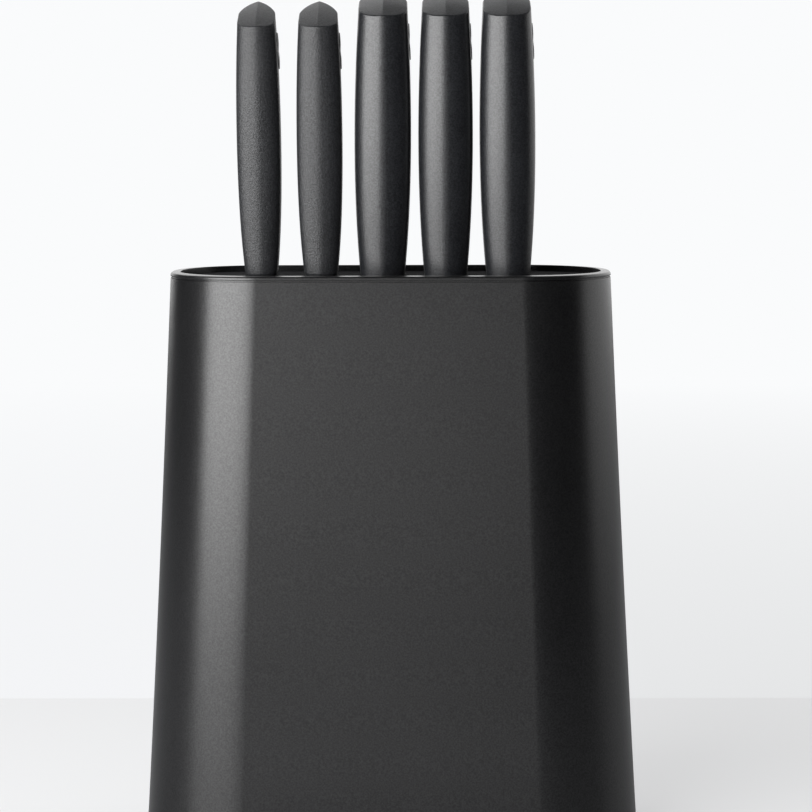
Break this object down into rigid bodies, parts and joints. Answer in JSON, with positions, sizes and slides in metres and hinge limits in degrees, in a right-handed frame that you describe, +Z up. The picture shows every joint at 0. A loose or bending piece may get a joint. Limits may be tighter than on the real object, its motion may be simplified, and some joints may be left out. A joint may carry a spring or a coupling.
{
  "type": "knife block with knives",
  "caption": "Free-standing tapered plastic knife block with rounded ends, holding upright knives whose dark handles stand in a row from slots in a recessed top plate.",
  "frame": {"origin": "middle of the block's footprint, at the level its feet stand on", "axes": "+X to the right seen from the front, +Y to the rear (the blades' cutting edges face it), +Z up"},
  "size_m": [0.212, 0.103, 0.3623],
  "materials": {
    "shell": "fine-grained dark grey moulding",
    "rim": "fine-grained dark grey moulding",
    "insert": "black moulding",
    "screw": "zinc-plated steel",
    "base": "black moulding",
    "foot": "moulded rubber",
    "blade": "satin stainless steel",
    "core": "black glass-filled moulding",
    "grip": "soft-touch dark grey moulding"
  },
  "bodies": {
    "block": {"housing": "shell", "rim_ring": "rim", "base_plate": "base", "base_screws": "screw", "foot_front_left": "foot", "foot_front_right": "foot", "foot_rear_left": "foot", "foot_rear_right": "foot"},
    "insert": {"slot_plate": "insert", "guide_plate": "insert", "tie_posts": "insert", "post_screws": "screw"},
    "paring_knife": {"paring_blade": "blade", "paring_core": "core", "paring_grip": "grip"},
    "utility_knife": {"utility_blade": "blade", "utility_core": "core", "utility_grip": "grip"},
    "bread_knife": {"bread_blade": "blade", "bread_core": "core", "bread_grip": "grip"},
    "carving_knife": {"carving_blade": "blade", "carving_core": "core", "carving_grip": "grip"},
    "chef_knife": {"chef_blade": "blade", "chef_core": "core", "chef_grip": "grip"}
  },
  "joints": [
    {"name": "insert_lift", "type": "slide", "parent": "block", "child": "insert", "axis": [0, 0, 1], "range_m": [0, 0.215]},
    {"name": "paring_draw", "type": "slide", "parent": "insert", "child": "paring_knife", "axis": [-0.0134, 0, 0.9999], "range_m": [0, 0.105]},
    {"name": "utility_draw", "type": "slide", "parent": "insert", "child": "utility_knife", "axis": [-0.0063, 0, 1], "range_m": [0, 0.145]},
    {"name": "bread_draw", "type": "slide", "parent": "insert", "child": "bread_knife", "axis": [0.0044, 0, 1], "range_m": [0, 0.215]},
    {"name": "carving_draw", "type": "slide", "parent": "insert", "child": "carving_knife", "axis": [0.0005, 0, 1], "range_m": [0, 0.215]},
    {"name": "chef_draw", "type": "slide", "parent": "insert", "child": "chef_knife", "axis": [-0.0061, 0, 1], "range_m": [0, 0.215]}
  ]
}
